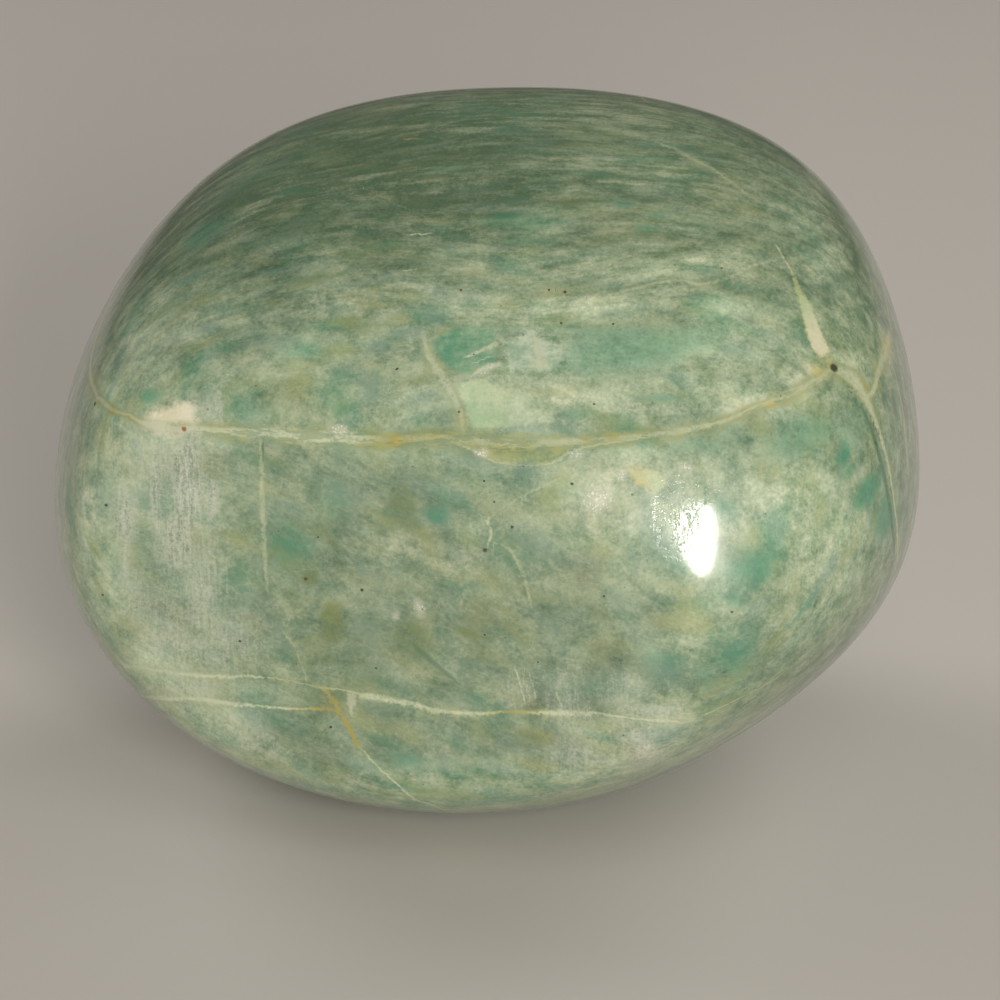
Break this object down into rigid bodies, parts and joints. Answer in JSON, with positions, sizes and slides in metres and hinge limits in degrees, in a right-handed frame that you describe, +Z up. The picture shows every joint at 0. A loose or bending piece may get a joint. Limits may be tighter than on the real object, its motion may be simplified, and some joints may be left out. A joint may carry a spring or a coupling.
{
  "type": "amazonite freeform",
  "caption": "Polished amazonite freeform: a rounded banded green stone with a broad flat window at the front and a small flat seat under it.",
  "frame": {"origin": "bottom centre of the stone's box, on the flat seat that it stands on", "axes": "+Z up, +X along the stone's long side, to the right as seen from the front, +Y to the back, away from the polished window"},
  "size_m": [0.0884, 0.0691, 0.0662],
  "materials": {
    "polished_stone": "high hand polish over banded pale green and blue-green feldspar with cream and ochre veins"
  },
  "bodies": {
    "root": {"stone": "polished_stone"}
  },
  "joints": []
}
